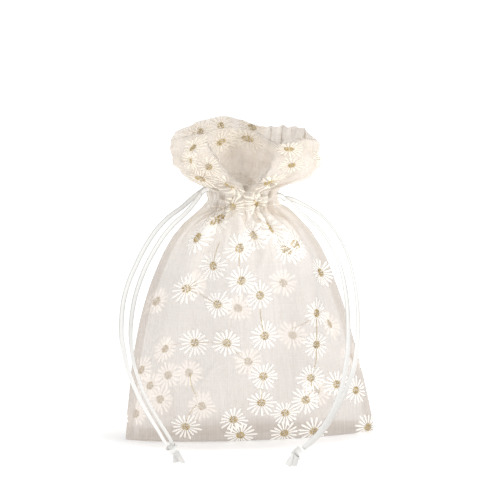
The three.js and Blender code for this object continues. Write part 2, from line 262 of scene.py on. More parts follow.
# The mouth, seen from above: from the left seam through the front to the right seam, then the back.
MOUTH_FRONT = [
    (-29.3, 0, 117.0), (-27.7, -5, 117.8), (-25.6, -9.8, 119.2), (-22.9, -14.2, 120.8),
    (-19.6, -18.0, 121.6), (-18.6, -18.6, 121.6), (-17.8, -17.6, 121.4), (-15.9, -12, 121.0),
    (-13.6, -5.5, 120.7), (-10.2, 0.2, 120.6),
    (-4.2, 2.6, 120.4), (0.4, 0.8, 119.7), (3.2, -4.6, 118.8), (5.6, -11.2, 117.8), (7.9, -17.4, 117.2),
    (8.8, -18.4, 117.2), (9.9, -18.2, 117.2), (14.2, -16.8, 117.4), (19.2, -13.4, 117.9), (23.4, -9.6, 117.2),
    (26.2, -4.8, 115.5), (26.9, 0, 113.8)]
RIDGE_TIPS = ((-18.6, -18.6), (8.8, -18.4))
MOUTH_BACK = [
    (26.8, 0, 113.8), (26.6, 4, 114.8), (24.2, 6.8, 117.0), (23.2, 10.0, 118.4), (20.4, 10.4, 118.5),
    (19.3, 13.6, 118.6), (16.6, 13.0, 118.3), (15.3, 16.2, 118.9), (12.6, 15.0, 118.3), (11.2, 17.8, 118.5),
    (7.5, 17.2, 118.1), (3.5, 18.2, 119.2), (-1, 19.3, 120.9), (-6, 20.2, 122.0), (-10, 18, 122.0),
    (-14, 17.6, 121.7), (-18.5, 15.6, 120.8), (-21.8, 11.6, 120.2), (-26, 8.6, 119.0), (-28.6, 4.5, 118.0),
    (-29.3, 0, 117.0)]


def mouth_ring():
    half = COLUMNS // 2 + 1
    return np.vstack([catmull(MOUTH_FRONT, half)[:-1], catmull(MOUTH_BACK, half)[:-1]])


def outward(ring):
    """Outward directions of a ring seen from above."""
    along = np.roll(ring[:, :2], -1, axis=0) - np.roll(ring[:, :2], 1, axis=0)
    return unit(np.stack([along[:, 1], -along[:, 0]], axis=1))


def level_outward(ring):
    """The same directions as vectors in space, level with the floor."""
    return np.pad(outward(ring), ((0, 0), (0, 1)))


def folds(count, seed, drift=0.0):
    """An irregular wave round the cloth with about that many folds, from -1 to 1."""
    local = np.random.default_rng(seed)
    s = np.arange(COLUMNS) / COLUMNS
    phase = 2 * math.pi * count * s + drift
    amount = np.ones(COLUMNS)
    for k in (1, 2, 3, 5):
        phase += local.uniform(0.3, 0.9) * np.sin(2 * math.pi * k * s + local.uniform(0, 6.28))
        amount += 0.16 * np.sin(2 * math.pi * k * s + local.uniform(0, 6.28))
    return np.cos(phase) * amount / amount.max()


def perimeter(ring):
    return np.linalg.norm(np.roll(ring, -1, axis=0) - ring, axis=1).sum()


def slack(ring, shape, most):
    """How deep the folds of that shape must be to take up the ring's spare cloth."""
    low, high = 0.0, most
    for _ in range(14):
        amount = (low + high) / 2
        if perimeter(folded(ring, shape, amount)) < TAKEN_UP * ROUND:
            low = amount
        else:
            high = amount
    return low


def folded(ring, shape, amount):
    """The ring with folds on the inner side of its outline; they die out at the two side seams."""
    return ring + level_outward(ring) * (amount * (shape - 1) * FREE_OF_SEAMS)[:, None]


def settled(amounts):
    """Amounts of neighbouring rows, evened out."""
    reach = 9
    window = np.hanning(2 * reach + 3)[1:-1]
    padded = np.pad(amounts, reach, mode="edge")
    return np.convolve(padded, window / window.sum(), mode="valid")


def relief(rows, around, up, seed, slant):
    """Irregular smooth relief over the cloth, from -1 to 1, that joins up round the pouch."""
    cells = np.random.default_rng(seed).uniform(-1, 1, (up + 2, around))
    y = np.linspace(0, up, rows)[:, None]
    x = (np.arange(COLUMNS) / COLUMNS * around)[None, :] + slant * y
    i, j = np.floor(x).astype(int), np.floor(y).astype(int)
    u, v = smooth(x - i), smooth(y - j)

    def cell(a, b):
        return cells[np.minimum(b, up + 1), a % around]

    return ((1 - v) * ((1 - u) * cell(i, j) + u * cell(i + 1, j))
            + v * ((1 - u) * cell(i, j + 1) + u * cell(i + 1, j + 1)))


def creases(rows, around, up, seed, slant):
    """Sharp-edged relief, as crisp cloth shows where it has been crushed."""
    ridge = 1 - 2 * np.abs(relief(rows, around, up, seed, slant))
    return 0.6 * ridge + 0.4 * relief(rows, 2 * around, 2 * up, seed + 1, 2 * slant)


def fold_shape(z):
    """How the folds are shared between narrow gathers at the neck and broad folds further down."""
    narrow = smooth((z - 80) / 11)
    middle = smooth((z - 58) / 22) * (1 - narrow)
    broad = 1 - narrow - middle
    return (narrow * gathers_at(z) + middle * folds(10, 11, 0.012 * (z - 80))
            + broad * folds(5, 21, 0.01 * (z - 50)))


def gathers_at(z):
    """The uneven gathers at the neck, which lean a little and differ in depth."""
    lean = 0.05 * (z - 95)
    deep, shallow = folds(19, 3, lean), folds(31, 9, -1.6 * lean)
    return 0.68 * deep + 0.32 * shallow


def cloth_rows():
    """The rows below the frill, each as its points and their heights in the flat pattern.

    The outline of the neck and the flat height of the wall, which the frill starts from, come with them."""
    rows = []
    base = body_ring(0.0)
    edge = np.abs(base[:, 1]) - SEAM_GAP
    for share in np.linspace(0, 1, FLOOR_STEPS):
        y = base[:, 1] * share + np.sign(base[:, 1]) * FLOOR_LIFT * (1 - share)
        rows.append((np.column_stack([base[:, 0], y, np.full(COLUMNS, FLOOR_LIFT)]), edge * share))
    wall = FLAT_HEIGHT - HEADING - CASING_DEPTH
    levels = np.arange(1.0, CASING_LOW, 1.0)
    rings = [np.column_stack([body_ring(z), np.full(COLUMNS, z)]) for z in levels]
    amounts = settled(np.array([slack(r, fold_shape(z), 4.5) for r, z in zip(rings, levels)]))
    for z, ring, amount in zip(levels, rings, amounts):
        ease = 0.6 + 0.4 * smooth((z - 80) / 10)
        rows.append((folded(ring, fold_shape(z), ease * amount), edge + (wall - edge) * z / CASING_LOW))
    neck = body_ring(0.5 * (CASING_LOW + CASING_HIGH))
    for z in np.linspace(CASING_LOW, CASING_HIGH, CASING_STEPS):
        ring = np.column_stack([neck, np.full(COLUMNS, z)])
        ring[:, :2] += outward(ring) * (belly(z) + 1.5 * (gathers_at(z) - 1))[:, None]
        rows.append((ring, np.full(COLUMNS, wall + z - CASING_LOW)))
    return rows, neck, wall


def belly(z):
    """How far the cloth stands out from the drawn-in middle of the casing."""
    middle = (CASING_LOW + CASING_HIGH) / 2
    return 0.13 * (z - middle) ** 2 - 0.7


# Shares of the way round, from the left seam, of the two ridges at the front of the mouth, and of
# the two places at the neck where those ridges start: they meet near its middle.
RIDGES_AT_MOUTH = tuple(np.hypot(mouth_ring()[:, 0] - x, mouth_ring()[:, 1] - y).argmin() / COLUMNS
                        for x, y in RIDGE_TIPS)
RIDGES_AT_NECK = (0.238, 0.278)


# How soon each part of the frill, by its share of the way round the mouth, spreads out above the neck:
# the lobes at the sides and the valley between the ridges do so at once, and the ridges slowly.
SPREAD = [(0, 3.6), (0.06, 2.7), (RIDGES_AT_MOUTH[0], 0.85), (RIDGES_AT_MOUTH[0] + 0.035, 2.0), (0.23, 4.2),
          (RIDGES_AT_MOUTH[1] - 0.05, 2.6), (RIDGES_AT_MOUTH[1], 1.25), (RIDGES_AT_MOUTH[1] + 0.06, 3.2),
          (0.5, 5.0), (0.58, 3.0), (0.75, 2.0), (0.92, 2.4), (1, 3.6)]


def ridges(height):
    """The columns of the two front ridges at a share of the frill's height, as shares of the way round."""
    rise = height ** 1.5
    return [low + (high - low) * rise for low, high in zip(RIDGES_AT_NECK, RIDGES_AT_MOUTH)]


def frill_ring(neck, mouth, height, inset):
    """The outline of the frill at a share of its height, moved in by inset."""
    s = np.arange(COLUMNS) / COLUMNS
    reach = np.interp(s, [0, *ridges(height), 0.5, 1], [0, *RIDGES_AT_MOUTH, 0.5, 1]) * COLUMNS
    index = np.arange(COLUMNS + 1)
    target = np.column_stack([np.interp(reach, index, np.append(mouth[:, k], mouth[0, k])) for k in range(3)])
    power = np.interp(reach / COLUMNS, *zip(*SPREAD))
    spread = 1 - (1 - height) ** power
    ring = np.zeros((COLUMNS, 3))
    ring[:, :2] = neck * (1 - spread)[:, None] + target[:, :2] * spread[:, None]
    ring[:, 2] = CASING_HIGH + (target[:, 2] - CASING_HIGH) * height
    ring[:, :2] -= inset * outward(ring)
    return ring


def frill_rows(neck, wall):
    mouth = mouth_ring()
    ruffles = folds(15, 5)
    top = wall + CASING_DEPTH
    outer, inner = [], []
    for height in np.linspace(0, 1, FRILL_STEPS + 1)[1:]:
        narrow = 1 - smooth(height / 0.5)
        shape = narrow * gathers_at(CASING_HIGH + 20 * height) + (1 - narrow) * ruffles
        most = 1.5 * narrow + 1.1 * (1 - narrow) * (1 - 0.5 * height)
        ring = frill_ring(neck, mouth, height, -belly(CASING_HIGH) * narrow**2)
        amount = max(0.25, slack(ring, shape, most))
        outer.append((folded(ring, shape, amount), np.full(COLUMNS, top + HEADING * height)))
        lining = frill_ring(neck, mouth, height, 0.5 + 1.6 * narrow - belly(CASING_HIGH) * narrow**2)
        inner.append((folded(lining, shape, 0.75 * amount), np.full(COLUMNS, top + HEADING * (2 - height))))
    crown = (outer[-1][0] + inner[-1][0]) / 2 + np.array([0, 0, 0.55])
    fold = [(crown, np.full(COLUMNS, top + HEADING + 0.4))]
    facing = []
    for z in np.linspace(CASING_HIGH, CASING_LOW, FACING_STEPS):
        ring = np.column_stack([neck, np.full(COLUMNS, z)])
        ring[:, :2] += outward(ring) * (belly(z) - 3.9 + 1.1 * (gathers_at(z) - 1))[:, None]
        facing.append((ring, np.full(COLUMNS, top + 2 * HEADING + CASING_HIGH - z)))
    return outer + fold + inner[::-1] + facing


def crushed(points):
    """The cloth with the small creases that handling leaves, strongest near the neck."""
    outer = RIM_ROW + 1
    rise = points[:outer, :, 2].mean(axis=1)[:, None]
    near = smooth((rise - 74) / 16)
    amount = 0.22 * smooth(rise / 12) + 2.8 * near * (1 - 0.6 * smooth((rise - 100) / 10))
    broad = creases(outer, 16, 11, 31, 0.35)
    coarse, fine = creases(outer, 13, 22, 37, 0.5), creases(outer, 23, 38, 41, -0.7)
    push = amount * ((1 - near) * (0.75 * broad + 0.25 * fine) + near * (0.6 * coarse + 0.55 * fine))
    push += handled(points[:outer])
    push[:WALL_ROW + 1] = 0
    lining = push[::-1][:len(points) - outer]
    out = np.stack([level_outward(ring) for ring in points])
    return points + out * np.vstack([push, lining])[..., None]


# Creases that handling has left in the front: ends across and up, then height (furrows below zero).
CREASES = [
    ((-11.7, 36.2), (-20.4, 24.4), 0.7), ((3.3, 82), (4.7, 77), 1.3), ((4.7, 77), (2.0, 70), 1.1),
    ((2.0, 70), (-0.8, 67.3), 0.8), ((-4.8, 76), (-4.5, 48), -0.6), ((14, 56), (15, 24), -0.5),
    ((-30, 30), (-36, 16), 0.4), ((28, 20), (36, 9), 0.4), ((0.5, 90), (2.8, 81), 1.6),
    ((0.6, 100), (0.4, 89), 1.6), ((-14, 87), (-5, 90), -0.9), ((-12, 98), (-6, 88), -1.0),
    ((5, 92), (9, 82), 0.9), ((7, 97), (13, 86), -0.7),
    ((-2.6, 99.5), (-3.2, 112), -2.6), ((-3.8, 104), (-8, 116), -1.0), ((-0.6, 104), (2, 115), -0.9),
    ((-5.5, 103), (-11, 114), 0.9), ((1.2, 101), (4.6, 112), 0.9), ((-8, 101), (-18, 116), 0.9),
    ((-11, 101), (-21, 113), -0.9), ((-14, 101), (-24, 111), -1.2), ((6, 101), (13, 111), -0.9),
    ((9, 100.5), (20, 109), -0.9), ((4.6, 102), (8.4, 114), 0.9), ((-12, 100.5), (-22, 108), -1.4),
    ((-1, 91), (-2.6, 76), -1.1), ((-3.4, 91), (-7, 74), 0.6), ((-6, 90), (-11, 76), -0.8),
    ((0, 76), (1, 62), -0.5)]


def handled(points):
    """Push of the single creases of the front."""
    push = np.zeros(points.shape[:2])
    half = slice(0, COLUMNS // 2)
    flat = points[:, half][..., [0, 2]]
    for start, end, height in CREASES:
        start, end = np.array(start, float), np.array(end, float)
        way = end - start
        share = ((flat - start) @ way) / (way @ way)
        gap = np.linalg.norm(flat - start - np.clip(share, 0, 1)[..., None] * way, axis=-1)
        fade = np.sin(np.pi * np.clip(0.12 + 0.76 * share, 0.02, 0.98))
        push[:, half] += height * fade * np.exp(-(gap / 1.1) ** 2)
    return push


def cloth_grid():
    rows, neck, wall = cloth_rows()
    all_rows = rows + frill_rows(neck, wall)
    points = np.stack([r[0] for r in all_rows])
    heights = np.stack([r[1] for r in all_rows])
    points = crushed(points)
    first = WALL_ROW + 1
    points[first:-1] = 0.25 * points[first - 1:-2] + 0.5 * points[first:-1] + 0.25 * points[first + 1:]
    return points, heights


class Cloth:
    """The cloth's grid, and the place and directions at any column and row of it."""

    def __init__(self, points, heights):
        self.points, self.heights = points, heights
        self.rows = points.shape[0]
        around = np.roll(points, -1, axis=1) - np.roll(points, 1, axis=1)
        up = np.gradient(points, axis=0)
        self.normals = unit(np.cross(around, up))
        reach = 15
        window = np.ones(2 * reach + 1) / (2 * reach + 1)
        outline = np.stack([[np.convolve(np.pad(ring[:, k], reach, mode="wrap"), window, mode="valid")
                             for k in (0, 1)] for ring in points])
        spans = np.linalg.norm(np.roll(outline, -1, axis=2) - outline, axis=1).sum(axis=1)
        self.per_mm = PER_MM * np.clip(ROUND / spans, 1.0, 2.4)

    def across(self, centre):
        """Columns in a millimetre seen across the folds at that place, where the cloth is drawn together."""
        return self.per_mm[int(np.clip(centre[1], WALL_ROW, self.rows - FACING_STEPS - 1))]

    def place(self, column, row, lift):
        column, row = np.broadcast_arrays(column, row)
        row = np.clip(row, 0, self.rows - 1.001)
        i, j = np.floor(column).astype(int), np.floor(row).astype(int)
        u, v = (column - i)[..., None], (row - j)[..., None]
        i0, i1 = i % COLUMNS, (i + 1) % COLUMNS

        def mix(field):
            return ((1 - u) * (1 - v) * field[j, i0] + u * (1 - v) * field[j, i1]
                    + (1 - u) * v * field[j + 1, i0] + u * v * field[j + 1, i1])

        lifted = np.asarray(lift)[..., None] * unit(mix(self.normals))
        return mix(self.points) + lifted

    def nearest(self, x, z, back):
        """The column and row of the body or casing that lie there across and up, on the front or the back."""
        half = COLUMNS // 2
        columns = slice(half, COLUMNS) if back else slice(0, half)
        part = self.points[WALL_ROW:FRILL_ROW - 1, columns]
        far = (part[..., 0] - x) ** 2 + (part[..., 2] - z) ** 2
        row, column = np.unravel_index(far.argmin(), far.shape)
        return column + (half if back else 0), row + WALL_ROW


def make_cloth(material):
    points, heights = cloth_grid()
    build = Build()
    s = np.broadcast_to(np.arange(COLUMNS) * ROUND / COLUMNS, heights.shape)
    build.grid(points, np.stack([s, heights], axis=-1) * MM, wrap=True)
    made = build.make("pouch_cloth", material)
    return made, Cloth(points, heights)


# ---------------------------------------------------------------- embroidery

def stitch(build, cloth, centre, start, end, wide, high, lift, sides):
    """One raised stitch between two points of the pattern, each across and up from a centre in mm."""
    along = np.linspace(0, 1, 4)[:, None]
    swell = np.sin(np.pi * np.clip(along * 0.94 + 0.03, 0, 1)) ** 0.55
    turn = 2 * math.pi * np.arange(sides)[None, :] / sides
    direction = np.array(end, float) - np.array(start, float)
    length = np.linalg.norm(direction)
    side = np.array([-direction[1], direction[0]]) / max(length, 1e-9)
    across = wide / 2 * swell * np.cos(turn)
    x = start[0] + direction[0] * along + side[0] * across
    y = start[1] + direction[1] * along + side[1] * across
    rise = lift + high * swell * (1 + np.sin(turn)) / 2
    points = cloth.place(centre[0] + x * cloth.across(centre), centre[1] + y, rise)
    uv = np.stack([np.broadcast_to(np.cos(turn) * wide / 2, points.shape[:2]),
                   np.broadcast_to(along * length, points.shape[:2])], axis=-1) * MM
    build.grid(points, uv, wrap=True, cap=True)


def petal(build, cloth, centre, turn, reach, wide):
    """One petal in satin stitch: narrow at the heart, full and rounded at its tip."""
    along = np.linspace(0, 1, 9)[:, None]
    fullness = (0.36 + 0.64 * along) * np.sqrt(1 - np.clip((along - 0.74) / 0.262, 0, 1) ** 2)
    round_it = 2 * math.pi * np.arange(8)[None, :] / 8
    way, side = np.array([math.cos(turn), math.sin(turn)]), np.array([-math.sin(turn), math.cos(turn)])
    out = HEART_RADIUS + (reach - HEART_RADIUS) * along
    across = wide / 2 * fullness * np.cos(round_it)
    x, y = way[0] * out + side[0] * across, way[1] * out + side[1] * across
    rise = 0.03 + (0.1 + 0.2 * fullness) * np.sin(round_it)
    points = cloth.place(centre[0] + x * cloth.across(centre), centre[1] + y, rise)
    uv = np.stack(np.broadcast_arrays(across, out), axis=-1) * MM
    build.grid(points, uv, wrap=True, cap=True)


def daisy(petals, hearts, cloth, centre, spin, size):
    count = int(rng.integers(16, 19))
    for k in range(count):
        turn = spin + 2 * math.pi * (k + rng.uniform(-0.14, 0.14)) / count
        reach = DAISY_REACH * size * rng.uniform(0.78, 1.06)
        petal(petals, cloth, centre, turn, reach, PETAL_WIDTH * size)
    for ring, number in ((1.35, 12), (0.6, 4)):
        for k in range(number):
            turn = spin + 2 * math.pi * (k + rng.uniform(-0.25, 0.25)) / number
            way = np.array([math.cos(turn), math.sin(turn)])
            inner = way * (ring - 0.5) * size
            outer = way * (ring + 0.45 * rng.uniform(0.7, 1.2)) * size
            stitch(hearts, cloth, centre, inner, outer, 0.46 * size, 0.76, -0.3, sides=6)


# Daisies beside those that the CAD model has, across and up: on the front, then on the back.
MORE_FRONT = [
    (7, 84), (0.5, 93), (12.4, 75.5), (-5, 65.5), (41, 17.5), (-25.5, 7.5), (12.5, 2.6), (20.5, 17.5),
    (46.6, 2.4), (24.3, 3.2), (-4.5, 3.4), (0.4, 81.5), (-7.5, 92), (-13, 87.5)]
MORE_BACK = [
    (-38, 19), (-44, 9.5), (-17.5, 8.5), (32.5, 42), (-35, 53), (-34, 12.5), (-41.5, 26), (-30.5, 22),
    (41.5, 29)]
# Daisies on the frill: share of the way round from the left seam, and share of its height; over 1 is
# on the cloth turned inside.
ON_FRILL = [
    (0.873, 1.2), (0.22, 0.74), (0.258, 0.8), (0.735, 1.08), (0.817, 1.17), (0.1, 0.75), (0.095, 0.54),
    (0.16, 0.4), (0.105, 0.2), (0.2, 0.08), (0.365, 0.5), (0.375, 0.86), (0.325, 0.14), (0.475, 0.6),
    (0.56, 1.3), (0.66, 0.35), (0.8, 0.5), (0.9, 0.78), (0.955, 0.45)]
# Linking threads between daisies of the front, by their places across and up.
LINKS = [
    ((-5.5, 77.5), (-5, 65.5)), ((-25, 62), (-14, 57)), ((2, 60), (4, 44)), ((24, 51), (24, 39)),
    ((24, 39), (22, 26.5)), ((3.5, 28.5), (3, 17.5)), ((-10.5, 42.5), (-22, 41)), ((-22, 41), (-33, 40)),
    ((-24, 31), (-20.5, 18)), ((-20.5, 18), (-25.5, 8)), ((-10.5, 42.5), (-3.5, 36)), ((24, 51), (13, 45)),
    ((22, 26.5), (20.5, 17.5)), ((-12, 81), (-15, 71))]


def node_spots(prefix):
    spots = []
    for name in sorted(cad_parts):
        if name.startswith(prefix):
            low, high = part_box(name)
            middle = (low + high) / 2 / MM
            spots.append((middle.x, middle.z))
    return spots


def all_daisies(cloth):
    """The column and row of every daisy's centre: on the front and frill, then on the back."""
    near = [cloth.nearest(x, z, False) for x, z in node_spots("front_daisy") + MORE_FRONT]
    near += [(share * COLUMNS, FRILL_ROW + FRILL_STEPS * height) for share, height in ON_FRILL]
    far = [cloth.nearest(x, z, True) for x, z in node_spots("back_daisy") + MORE_BACK]
    return near, far


def link_thread(build, cloth, start, end):
    a = np.array(cloth.nearest(*start, False), float)
    b = np.array(cloth.nearest(*end, False), float)
    share = np.linspace(0.14, 0.86, 26)[:, None]
    bow = np.sin(np.pi * share) * rng.uniform(-3.0, 3.0)
    line = a + (b - a) * share + np.array([[1.0, 0.0]]) * bow
    turn = 2 * math.pi * np.arange(5)[None, :] / 5
    points = cloth.place(line[:, :1] + 0.11 * np.cos(turn) * PER_MM, line[:, 1:] + 0 * turn,
                         0.16 + 0.1 * np.sin(turn))
    build.grid(points, np.zeros(points.shape[:2] + (2,)), wrap=True, cap=True)


def make_embroidery(cloth, white, far_white_painted_glow, gold, far_gold_painted_shade_and_glow):
    petals, far_petals, hearts, far_hearts, threads = (Build() for _ in range(5))
    for part, middles, centres in zip((petals, far_petals), (hearts, far_hearts), all_daisies(cloth)):
        for centre in centres:
            daisy(part, middles, cloth, centre, rng.uniform(0, 6.28), rng.uniform(0.94, 1.04))
    for start, end in LINKS:
        link_thread(threads, cloth, start, end)
    return (petals.make("daisy_petals", white), far_petals.make("back_daisy_petals", far_white_painted_glow),
            hearts.make("daisy_hearts", gold), far_hearts.make("back_daisy_hearts", far_gold_painted_shade_and_glow),
            threads.make("linking_threads", gold))


def make_stitching(cloth, material):
    build = Build()
    for row in (CASING_ROW + 0.2, FRILL_ROW - 1.6):
        for k in range(int(ROUND / STITCH_PITCH)):
            centre = (k * STITCH_PITCH * PER_MM, row)
            stitch(build, cloth, centre, (0, 0), (1.3, 0), 0.16, 0.14, 0.0, sides=5)
    return build.make("casing_stitching", material)


def make_seams(cloth, material):
    """The allowances of the side seams, and of the seam under the base, standing inside the cloth."""
    build = Build()
    for column, sign in ((0, 1), (COLUMNS // 2, -1)):
        rows = np.arange(WALL_ROW, RIM_ROW - 3)
        edge = (cloth.points[rows, column] + cloth.points[rows, column - 1]) / 2
        share = np.linspace(0, 1, 4)[None, :, None]
        narrow = np.where(rows > CASING_ROW - 2, 1.6, 3.0)[:, None, None]
        points = edge[:, None, :] + share * narrow * np.array([sign, 0, 0])
        points[..., 1] *= 0.2
        uv = np.stack(np.broadcast_arrays(share[..., 0], rows[:, None] * 1.0), axis=-1) * MM
        build.grid(points, uv)
    low, high = (np.array(corner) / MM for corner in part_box("bottom_seam"))
    x = np.linspace(low[0], high[0], 90)[None, :]
    z = np.linspace(low[2] + 0.4, high[2], 5)[:, None]
    y = 0.25 * np.sin(x / 2.6) * z / high[2]
    uv = np.stack(np.broadcast_arrays(x, z), axis=-1) * MM
    build.grid(np.stack(np.broadcast_arrays(x, y, z), axis=-1), uv)
    return build.make("seam_allowances", material)


# ---------------------------------------------------------------- ribbons

def ribbon_rings(line, face, width, thickness, curl):
    """Rings of a flat ribbon along a line; face gives the way that its flat side looks."""
    along = unit(np.gradient(line, axis=0))
    face = unit(face - (face * along).sum(1, keepdims=True) * along)
    side = np.cross(along, face)
    turn = 2 * math.pi * np.arange(RIBBON_SIDES)[None, :, None] / RIBBON_SIDES
    across = width / 2 * np.cos(turn)
    depth = thickness / 2 * np.sin(turn) + curl * (np.cos(turn) ** 2 - 0.5)
    return line[:, None, :] + across * side[:, None, :] + depth * face[:, None, :]


def ribbon(build, line, face, width=RIBBON_WIDTH, thickness=RIBBON_THICKNESS, curl=0.35):
    rings = ribbon_rings(line, face, width, thickness, curl)
    along = lengths(line)[:, None]
    across = width / 2 * np.cos(2 * math.pi * np.arange(RIBBON_SIDES) / RIBBON_SIDES)[None, :]
    uv = np.stack(np.broadcast_arrays(across, along), axis=-1) * MM
    build.grid(rings, uv, wrap=True, cap=True)


def make_tail(name, material):
    left = name.startswith("left")
    side_name = "left" if left else "right"
    low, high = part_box(side_name + "_knot")
    knot = np.array((low + high) / 2) / MM
    tip = np.array(ROUTES[name][-1])
    route = catmull([*ROUTES[name], tip * 0.45 + knot * 0.55], 121)
    share = np.linspace(0, 1, len(route))[:, None]
    outward_way = np.array([[-0.45 if left else 0.45, -0.85, 0.25]])
    start = np.array([[0.0, -1.0, 0.0]])
    face = start * (1 - smooth(share / 0.12)) + outward_way * smooth(share / 0.12)
    wander = 0.5 * np.sin(5.0 * share + len(name)) + (0.9 * smooth((share - 0.55) / 0.4) if not left else 0.0)
    along = unit(np.gradient(route, axis=0))
    side = np.cross(along, unit(face))
    face = unit(face) * np.cos(wander) + side * np.sin(wander)
    build = Build()
    ribbon(build, route, face)
    made = build.make(name + "_ribbon", material)
    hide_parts(name + "_tail")
    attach(made, side_name + "_tail_pair")


def make_knot(side, material):
    """An overhand knot of the two ribbons, and its two cut ends."""
    low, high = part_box(side + "_knot")
    centre = np.array((low + high) / 2) / MM
    tip = (np.array(ROUTES[side + "_front"][-1]) + np.array(ROUTES[side + "_back"][-1])) / 2
    way = unit(tip - centre)
    across = unit(np.cross(way, np.array([0.3, 1.0, 0.2])))
    other = np.cross(way, across)
    build = Build()
    for turns, radius, pitch, phase in ((1.7, 1.75, 2.3, 0.4), (1.2, 2.05, -1.5, 2.6)):
        t = np.linspace(-0.5, 0.5, 70)[:, None]
        angle = 2 * math.pi * turns * t + phase
        tuck = radius * (1 - 0.75 * smooth((np.abs(t) - 0.36) / 0.14))
        round_way = np.cos(angle) * across + np.sin(angle) * other
        ribbon(build, centre + tuck * round_way + pitch * t * way, round_way, width=KNOT_WIDTH, thickness=0.5,
               curl=0.3)
    core = np.linspace(-1, 1, 12)[:, None]
    ring = ribbon_rings(centre + 2.0 * core * way, np.tile(across, (12, 1)), 1.0, 1.0, 0.0)
    swell = np.sqrt(np.clip(1.02 - core**2, 0, 1))[..., None]
    middle = ring.mean(axis=1, keepdims=True)
    build.grid(middle + (ring - middle) * 3.0 * swell, np.zeros(ring.shape[:2] + (2,)), wrap=True, cap=True)
    for k, name in enumerate(("upper", "lower")):
        a, b = (np.array(c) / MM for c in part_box(f"{side}_{name}_cut_end"))
        end = np.array([a[0] if side == "right" else b[0], a[1], 0.8])
        start = centre - 0.6 * way
        middle = (start + end) / 2 + np.array([0.3 * k, 0.0, 0.7])
        cut = catmull([start, middle, end], 22)
        lie = smooth(np.linspace(0, 1, 22)[:, None] / 0.7)
        face = (1 - lie) * other + lie * np.array([[0.25 - 0.5 * k, -0.45, 0.85]])
        ribbon(build, cut, face, width=KNOT_WIDTH)
    made = build.make(side + "_ribbon_knot", material)
    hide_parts(side + "_knot", side + "_upper_cut_end", side + "_lower_cut_end")
    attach(made, side + "_tail_pair")


def make_loop(side, material):
    """The ribbon inside the casing, whose two ends come out through the slit, and its blend at the slit."""
    low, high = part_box(side + "_drawstring_loop")
    low, high = np.array(low) / MM, np.array(high) / MM
    middle, half = (low + high) / 2, (high - low) / 2
    sign = -1 if side == "left" else 1
    turn = np.linspace(0.3, 2 * math.pi - 0.3, 141)
    x = middle[0] + sign * (half[0] - 2.2) * np.cos(turn)
    y = -(half[1] - 2.6) * np.sin(turn)
    ring = np.column_stack([x, y, np.full(len(turn), middle[2])])
    out = np.array(ROUTES[side + "_front"][0])
    front = np.vstack([[out[0], -1.0, out[2]], [out[0] - sign * 2.5, -1.1, middle[2] + 1.3]])
    line = catmull(np.vstack([front, ring[::10], (front * np.array([1, -1, 1]))[::-1]]), 181)
    face = unit((line - middle) * np.array([1, 1, 0]))
    end = smooth((sign * (line[:, :1] - out[0]) + 4.5) / 2.5)
    face = face * (1 - end) + end * np.sign(line[:, 1:2]) * np.array([[0.0, 1.0, 0.0]])
    build = Build()
    ribbon(build, line, face, curl=0.1)
    made = build.make(side + "_casing_ribbon", material)
    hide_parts(side + "_drawstring_loop", side + "_front_slit_ribbon", side + "_back_slit_ribbon")
    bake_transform(made)


# ---------------------------------------------------------------- materials

class Nodes:
    """Short ways to make the nodes of one material."""

    def __init__(self, name):
        self.material = bpy.data.materials.new(name)
        self.material.use_nodes = True
        self.tree = self.material.node_tree
        self.shader = self.tree.nodes["Principled BSDF"]

    def add(self, kind, **settings):
        node = self.tree.nodes.new(kind)
        for key, value in settings.items():
            if key in node.inputs:
                node.inputs[key].default_value = value
            else:
                setattr(node, key, value)
        return node

    def join(self, output, input_socket):
        self.tree.links.new(output, input_socket)

    def feed(self, node, *values):
        """Fills the node's inputs in order, each with a value or another node's output."""
        for socket, value in zip(node.inputs, values):
            if isinstance(value, bpy.types.NodeSocket):
                self.join(value, socket)
            else:
                socket.default_value = value
        return node.outputs[0]

    def math(self, operation, *values):
        return self.feed(self.add("ShaderNodeMath", operation=operation), *values)

    def vector(self, operation, *values):
        return self.feed(self.add("ShaderNodeVectorMath", operation=operation), *values)

    def map_range(self, value, low, high, to_low, to_high):
        return self.feed(self.add("ShaderNodeMapRange"), value, low, high, to_low, to_high)

    def place(self):
        """The place in the CAD frame at rest, in metres."""
        return self.add("ShaderNodeTexCoord").outputs["Object"]

    def pattern(self, across, up):
        """Pattern coordinates, in metres, scaled each way."""
        uv = self.add("ShaderNodeUVMap", uv_map="pattern")
        return self.vector("MULTIPLY", uv.outputs[0], (across, up, 1.0))

    def parts(self, vector):
        node = self.add("ShaderNodeSeparateXYZ")
        self.join(vector, node.inputs[0])
        return node.outputs

    def noise(self, vector, scale=1.0, detail=2.0):
        node = self.add("ShaderNodeTexNoise", Scale=scale, Detail=detail)
        self.join(vector, node.inputs["Vector"])
        return node.outputs["Fac"]

    def ramp(self, factor, *stops):
        """A colour ramp; each stop is a place and a colour."""
        node = self.add("ShaderNodeValToRGB")
        for k, (place, colour) in enumerate(stops):
            stop = node.color_ramp.elements[k] if k < 2 else node.color_ramp.elements.new(place)
            stop.position = place
            stop.color = (*colour, 1.0)
        self.join(factor, node.inputs[0])
        return node.outputs[0]

    def bump(self, height, strength, distance):
        node = self.add("ShaderNodeBump", Strength=strength, Distance=distance)
        self.join(height, node.inputs["Height"])
        self.join(node.outputs[0], self.shader.inputs["Normal"])

    def set(self, **settings):
        for key, value in settings.items():
            self.shader.inputs[key.replace("_", " ")].default_value = value


def tinted(stops, tint):
    return [(place, tuple(channel * tint for channel in colour)) for place, colour in stops]


